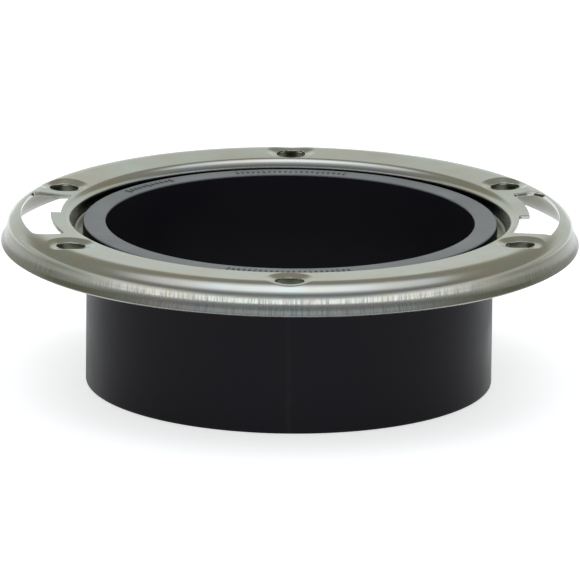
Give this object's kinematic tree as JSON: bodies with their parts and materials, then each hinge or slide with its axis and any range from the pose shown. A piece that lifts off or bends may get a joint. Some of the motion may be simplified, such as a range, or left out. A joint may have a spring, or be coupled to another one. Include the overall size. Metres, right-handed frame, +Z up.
{
  "type": "toilet flange",
  "caption": "Closet flange: a black plastic hub that slips over a drain pipe, with a loose stamped steel ring that turns under the hub's collar.",
  "frame": {"origin": "centre of the hub's foot, where the pipe's axis meets the surface that the flange stands on", "axes": "+Z up the pipe's axis towards the toilet, X through the ring's two bolt slots, Y through its front and rear screw holes"},
  "size_m": [0.18, 0.18, 0.0534],
  "materials": {
    "abs_black": "moulded black ABS, satin",
    "stainless_steel": "stamped stainless sheet with fine draw marks on its skirt"
  },
  "bodies": {
    "hub": {"hub": "abs_black"},
    "ring": {"swivel_ring": "stainless_steel"}
  },
  "joints": [
    {"name": "ring_swivel", "type": "hinge", "parent": "hub", "child": "ring", "pos_m": [0, 0, 0.0469], "axis": [0, 0, 1], "continuous": true}
  ]
}
